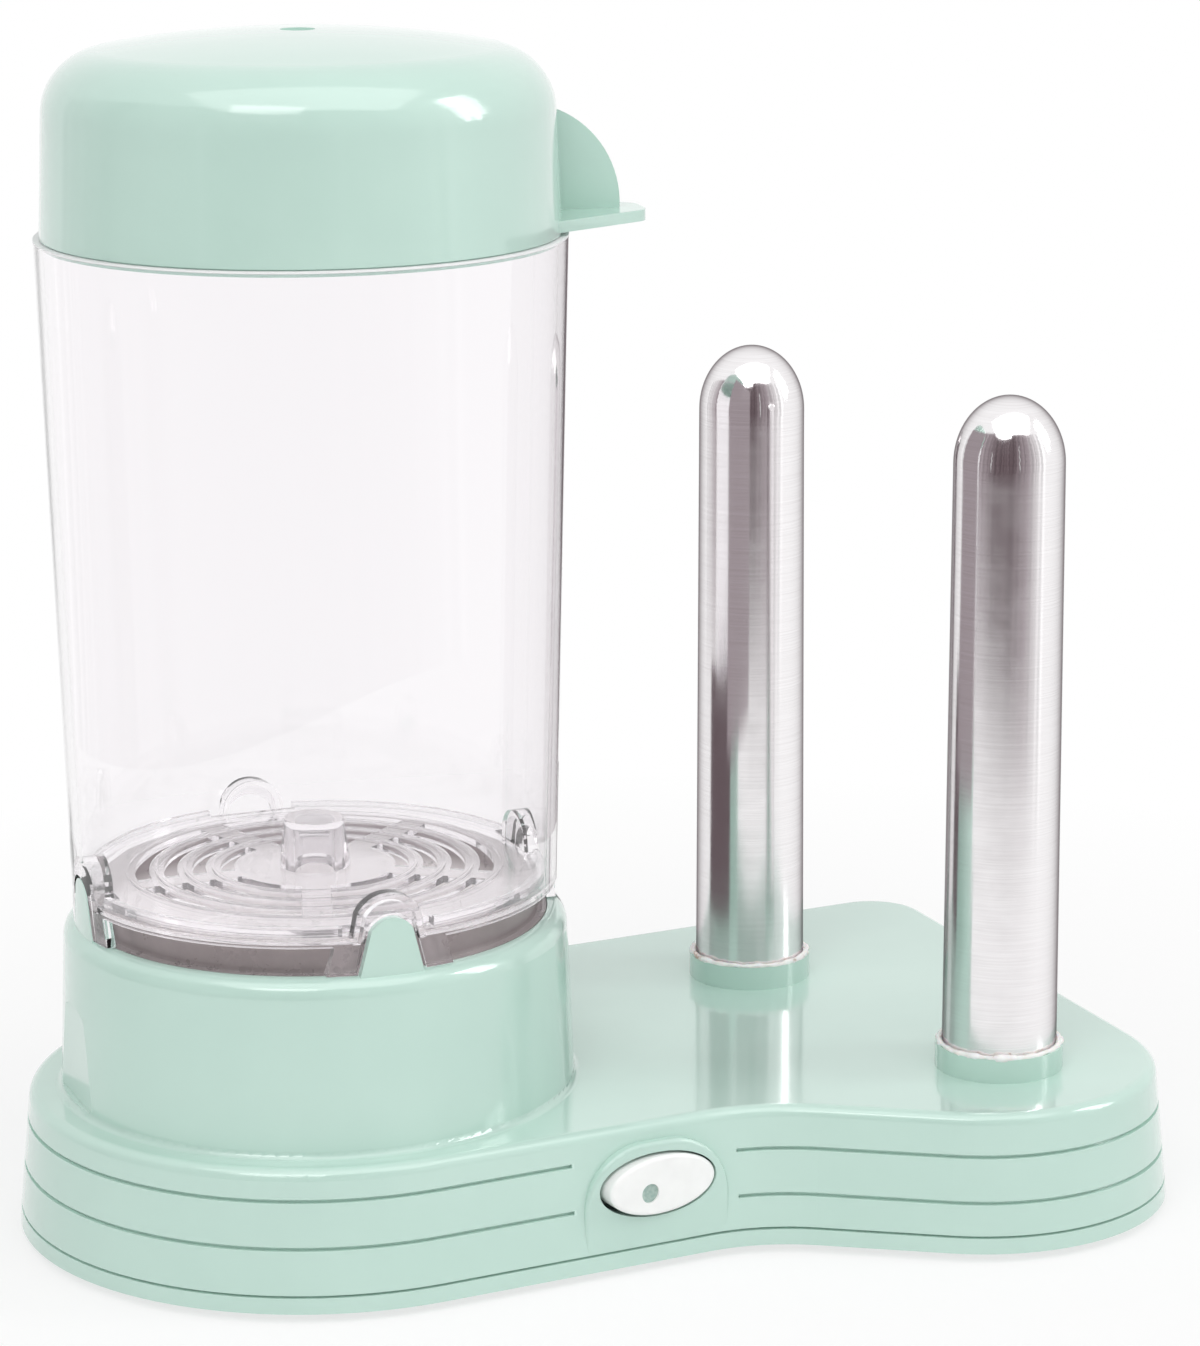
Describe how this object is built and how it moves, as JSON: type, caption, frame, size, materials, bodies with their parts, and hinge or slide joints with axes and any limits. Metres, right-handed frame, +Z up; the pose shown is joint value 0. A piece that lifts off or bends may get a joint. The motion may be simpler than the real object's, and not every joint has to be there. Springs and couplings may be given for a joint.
{
  "type": "hot dog machine",
  "caption": "Tabletop hot dog steamer: a clear lidded steam tower on a heated drum beside a deck with heated bun spikes and a rocker switch.",
  "frame": {"origin": "centre of the overall box in plan, on the plane the feet stand on", "axes": "+Z up, the switch faces -Y, the steam tower stands towards -X and the bun spikes towards +X"},
  "size_m": [0.2476, 0.1642, 0.2577],
  "materials": {
    "mint_plastic": "gloss",
    "clear_plastic": "clear gloss",
    "stainless_steel": "fine brushed with a polished tip",
    "pan_steel": "satin",
    "zinc_steel": "zinc plated",
    "black_rubber": "matt",
    "silicone": "satin",
    "white_plastic": "gloss",
    "lens_plastic": "satin",
    "black_plastic": "satin",
    "heater_ceramic": "matt",
    "brass": "plain"
  },
  "bodies": {
    "base": {"base_housing": "mint_plastic", "tower_drum": "mint_plastic", "bottom_plate": "mint_plastic", "rubber_feet": "black_rubber", "base_screws": "zinc_steel", "heating_pan": "pan_steel", "pan_seal": "silicone", "heating_element": "pan_steel", "element_terminals": "brass", "thermostat": "black_plastic", "thermal_fuse": "heater_ceramic", "pan_bracket": "zinc_steel", "pan_nuts": "zinc_steel", "rear_spike": "stainless_steel", "front_spike": "stainless_steel", "rear_sleeve": "silicone", "front_sleeve": "silicone", "rear_heater": "heater_ceramic", "front_heater": "heater_ceramic", "rear_clamp": "zinc_steel", "front_clamp": "zinc_steel", "clamp_screws": "zinc_steel", "switch_body": "black_plastic", "switch_pin": "zinc_steel", "switch_terminals": "brass", "cord_gland": "black_rubber", "terminal_block": "white_plastic"},
    "rocker": {"switch_rocker": "white_plastic", "pilot_lens": "lens_plastic"},
    "container": {"steam_container": "clear_plastic"},
    "tray": {"sausage_tray": "clear_plastic"},
    "lid": {"lid": "mint_plastic"}
  },
  "joints": [
    {"name": "container_lift", "type": "slide", "parent": "base", "child": "container", "axis": [0, 0, 1], "range_m": [0, 0.12]},
    {"name": "tray_lift", "type": "slide", "parent": "container", "child": "tray", "axis": [0, 0, 1], "range_m": [0, 0.11]},
    {"name": "lid_lift", "type": "slide", "parent": "container", "child": "lid", "axis": [0, 0, 1], "range_m": [0, 0.08]},
    {"name": "rocker_tilt", "type": "hinge", "parent": "base", "child": "rocker", "pos_m": [-0.0086, -0.04371, 0.0192], "axis": [0, 0, -1], "range_deg": [0, 12]}
  ]
}
